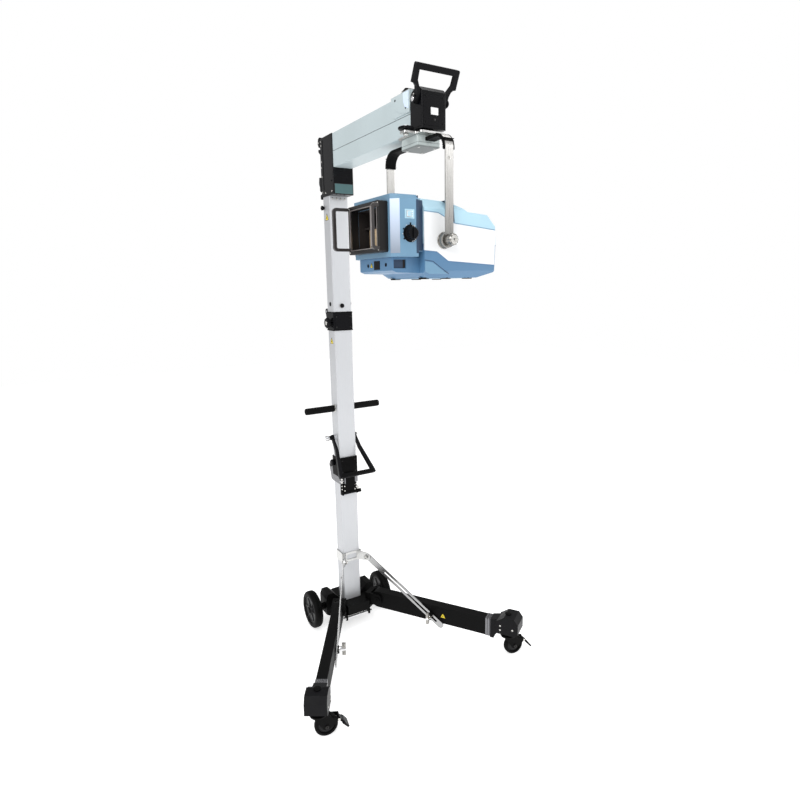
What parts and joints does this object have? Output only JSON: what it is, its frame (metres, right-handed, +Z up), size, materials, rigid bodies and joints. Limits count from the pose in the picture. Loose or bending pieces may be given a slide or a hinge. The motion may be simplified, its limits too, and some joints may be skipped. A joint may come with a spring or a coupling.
{
  "type": "portable x-ray unit on folding stand",
  "caption": "Portable X-ray head with light-beam collimator, hung in a swivelling yoke from the boom of a folding column stand on wheels and braked casters.",
  "frame": {"origin": "on the floor under the centre of the column", "axes": "+Z up along the column, -Y along the boom and towards the two caster legs, -X the way the beam leaves the head at rest"},
  "size_m": [0.9911, 0.897, 2.0997],
  "materials": {
    "black_paint": "matt black powder coat",
    "gloss_black": "gloss black",
    "column_aluminium": "satin anodised",
    "boom_paint": "satin pale grey-green",
    "bright_steel": "brushed stainless",
    "chrome": "polished",
    "black_rubber": "soft black",
    "tyre_rubber": "dark grey tread",
    "black_plastic": "moulded",
    "blue_shell": "satin mid blue",
    "deep_blue_shell": "satin darker blue",
    "white_panel": "satin white",
    "grey_frame": "satin dark grey",
    "shutter_brass": "dull",
    "tank_paint": "grey potting resin"
  },
  "bodies": {
    "base": {"base_block": "black_paint", "rear_axle": "black_paint", "tow_rod": "chrome", "base_post": "column_aluminium", "stay_bracket": "bright_steel", "hinge_socket": "bright_steel", "latch_keeper": "black_paint", "base_fasteners": "chrome"},
    "mast": {"hinge_head": "black_paint", "lower_mast": "column_aluminium", "push_bar": "bright_steel", "push_grips": "black_rubber", "handle_pivot": "chrome", "mid_collar": "gloss_black"},
    "latch": {"latch_lever": "bright_steel"},
    "handle": {"folding_handle": "black_plastic"},
    "collar_knob": {"collar_knob": "black_plastic"},
    "upper": {"upper_mast": "column_aluminium", "head_bracket": "gloss_black", "boom": "boom_paint", "boom_cover": "boom_paint", "nose_box": "gloss_black", "swivel_plate": "bright_steel", "head_fasteners": "chrome"},
    "carry_handle": {"carry_handle": "black_plastic"},
    "swivel_lock": {"swivel_lock_knob": "chrome"},
    "yoke": {"yoke_block": "bright_steel", "yoke_strap": "bright_steel", "yoke_grips": "black_rubber"},
    "unit": {"unit_upper_shell": "blue_shell", "unit_lower_shell": "deep_blue_shell", "side_panels": "white_panel", "collimator_housing": "blue_shell", "window_frame": "grey_frame", "guard_loops": "grey_frame", "monobloc_tank": "tank_paint", "pivot_bosses": "bright_steel", "rubber_feet": "black_rubber"},
    "tilt_knob_near": {"tilt_knob_near": "chrome"},
    "tilt_knob_far": {"tilt_knob_far": "chrome"},
    "dial": {"dial_knob": "black_plastic"},
    "shutter_left": {"shutter_left": "shutter_brass"},
    "shutter_right": {"shutter_right": "shutter_brass"},
    "light_button": {"light_button": "white_panel"},
    "leg_left": {"leg_left": "black_paint", "caster_mount_left": "black_plastic"},
    "stay_left": {"stay_left": "chrome"},
    "stay_knob_left": {"stay_knob_left": "black_plastic"},
    "caster_left": {"caster_fork_left": "black_paint"},
    "caster_wheel_left": {"caster_wheel_left": "tyre_rubber"},
    "brake_left": {"brake_pedal_left": "black_plastic"},
    "rear_wheel_left": {"rear_wheel_left": "tyre_rubber"},
    "leg_right": {"leg_right": "black_paint", "caster_mount_right": "black_plastic"},
    "stay_right": {"stay_right": "chrome"},
    "stay_knob_right": {"stay_knob_right": "black_plastic"},
    "caster_right": {"caster_fork_right": "black_paint"},
    "caster_wheel_right": {"caster_wheel_right": "tyre_rubber"},
    "brake_right": {"brake_pedal_right": "black_plastic"},
    "rear_wheel_right": {"rear_wheel_right": "tyre_rubber"}
  },
  "joints": [
    {"name": "leg_fold_right", "type": "hinge", "parent": "base", "child": "leg_right", "pos_m": [0.10359, -0.09677, 0.11], "axis": [-0.848, -0.5299, 0], "range_deg": [0, 75]},
    {"name": "stay_turn_right", "type": "hinge", "parent": "base", "child": "stay_right", "pos_m": [0.07868, -0.05691, 0.31], "axis": [-0.848, -0.5299, 0], "range_deg": [0, 54.5]},
    {"name": "stay_clamp_right", "type": "hinge", "parent": "leg_right", "child": "stay_knob_right", "pos_m": [0.23872, -0.31302, 0.1], "axis": [-0.848, -0.5299, 0], "range_deg": [0, 180]},
    {"name": "caster_swivel_right", "type": "hinge", "parent": "leg_right", "child": "caster_right", "pos_m": [0.41518, -0.59542, 0.095], "axis": [0, 0, 1], "continuous": true},
    {"name": "caster_roll_right", "type": "hinge", "parent": "caster_right", "child": "caster_wheel_right", "pos_m": [0.43866, -0.60041, 0.04], "axis": [-0.2079, -0.9781, 0], "continuous": true},
    {"name": "brake_press_right", "type": "hinge", "parent": "caster_right", "child": "brake_right", "pos_m": [0.47974, -0.60914, 0.057], "axis": [0.2079, 0.9781, 0], "range_deg": [0, 12]},
    {"name": "rear_roll_right", "type": "hinge", "parent": "base", "child": "rear_wheel_right", "pos_m": [0.17, 0.025, 0.08], "axis": [1, 0, 0], "continuous": true},
    {"name": "leg_fold_left", "type": "hinge", "parent": "base", "child": "leg_left", "pos_m": [-0.10359, -0.09677, 0.11], "axis": [-0.848, 0.5299, 0], "range_deg": [0, 75]},
    {"name": "stay_turn_left", "type": "hinge", "parent": "base", "child": "stay_left", "pos_m": [-0.07868, -0.05691, 0.31], "axis": [-0.848, 0.5299, 0], "range_deg": [0, 54.5]},
    {"name": "stay_clamp_left", "type": "hinge", "parent": "leg_left", "child": "stay_knob_left", "pos_m": [-0.23872, -0.31302, 0.1], "axis": [-0.848, 0.5299, 0], "range_deg": [0, 180]},
    {"name": "caster_swivel_left", "type": "hinge", "parent": "leg_left", "child": "caster_left", "pos_m": [-0.41518, -0.59542, 0.095], "axis": [0, 0, 1], "continuous": true},
    {"name": "caster_roll_left", "type": "hinge", "parent": "caster_left", "child": "caster_wheel_left", "pos_m": [-0.39171, -0.60041, 0.04], "axis": [-0.2079, -0.9781, 0], "continuous": true},
    {"name": "brake_press_left", "type": "hinge", "parent": "caster_left", "child": "brake_left", "pos_m": [-0.35063, -0.60914, 0.057], "axis": [0.2079, 0.9781, 0], "range_deg": [0, 12]},
    {"name": "rear_roll_left", "type": "hinge", "parent": "base", "child": "rear_wheel_left", "pos_m": [-0.17, 0.025, 0.08], "axis": [1, 0, 0], "continuous": true},
    {"name": "mast_fold", "type": "hinge", "parent": "base", "child": "mast", "pos_m": [0, 0.06, 0.712], "axis": [-1, 0, 0], "range_deg": [0, 85]},
    {"name": "latch_turn", "type": "hinge", "parent": "base", "child": "latch", "pos_m": [0, -0.046, 0.612], "axis": [1, 0, 0], "range_deg": [0, 110]},
    {"name": "handle_swing", "type": "hinge", "parent": "mast", "child": "handle", "pos_m": [0, 0.005, 0.85], "axis": [-1, 0, 0], "range_deg": [0, 95]},
    {"name": "collar_lock", "type": "hinge", "parent": "mast", "child": "collar_knob", "pos_m": [-0.05, 0, 1.335], "axis": [1, 0, 0], "range_deg": [0, 180]},
    {"name": "upper_fold", "type": "hinge", "parent": "mast", "child": "upper", "pos_m": [0, 0.048, 1.3796], "axis": [-1, 0, 0], "range_deg": [0, 90]},
    {"name": "grip_fold", "type": "hinge", "parent": "upper", "child": "carry_handle", "pos_m": [0, -0.672, 2.012], "axis": [1, 0, 0], "range_deg": [0, 60]},
    {"name": "swivel_lock", "type": "hinge", "parent": "upper", "child": "swivel_lock", "pos_m": [-0.072, -0.65, 1.93], "axis": [0, 0, 1], "range_deg": [0, 180]},
    {"name": "yoke_swivel", "type": "hinge", "parent": "upper", "child": "yoke", "pos_m": [0, -0.6, 1.922], "axis": [0, 0, 1], "range_deg": [-180, 180]},
    {"name": "unit_tilt", "type": "hinge", "parent": "yoke", "child": "unit", "pos_m": [0, -0.612, 1.61], "axis": [0, 1, 0], "range_deg": [-90, 60]},
    {"name": "tilt_lock_near", "type": "hinge", "parent": "unit", "child": "tilt_knob_near", "pos_m": [0, -0.78, 1.61], "axis": [0, 1, 0], "range_deg": [0, 180]},
    {"name": "tilt_lock_far", "type": "hinge", "parent": "unit", "child": "tilt_knob_far", "pos_m": [0, -0.42, 1.61], "axis": [0, 1, 0], "range_deg": [0, 180]},
    {"name": "dial_turn", "type": "hinge", "parent": "unit", "child": "dial", "pos_m": [-0.119, -0.748, 1.627], "axis": [0, 1, 0], "range_deg": [0, 120]},
    {"name": "shutter_travel_left", "type": "slide", "parent": "unit", "child": "shutter_left", "axis": [0, 1, 0], "range_m": [0, 0.014]},
    {"name": "shutter_travel_right", "type": "slide", "parent": "unit", "child": "shutter_right", "axis": [0, -1, 0], "range_m": [0, 0.014]},
    {"name": "button_press", "type": "slide", "parent": "unit", "child": "light_button", "axis": [0, 1, 0], "range_m": [0, 0.003], "stiffness_N_per_m": 400}
  ],
  "couplings": [
    {"joint": "stay_turn_right", "follows": "leg_fold_right", "ratio": 0.7253},
    {"joint": "stay_turn_left", "follows": "leg_fold_left", "ratio": 0.7253},
    {"joint": "shutter_travel_left", "follows": "dial_turn", "m_per_rad": 0.00668},
    {"joint": "shutter_travel_right", "follows": "dial_turn", "m_per_rad": 0.00668}
  ]
}
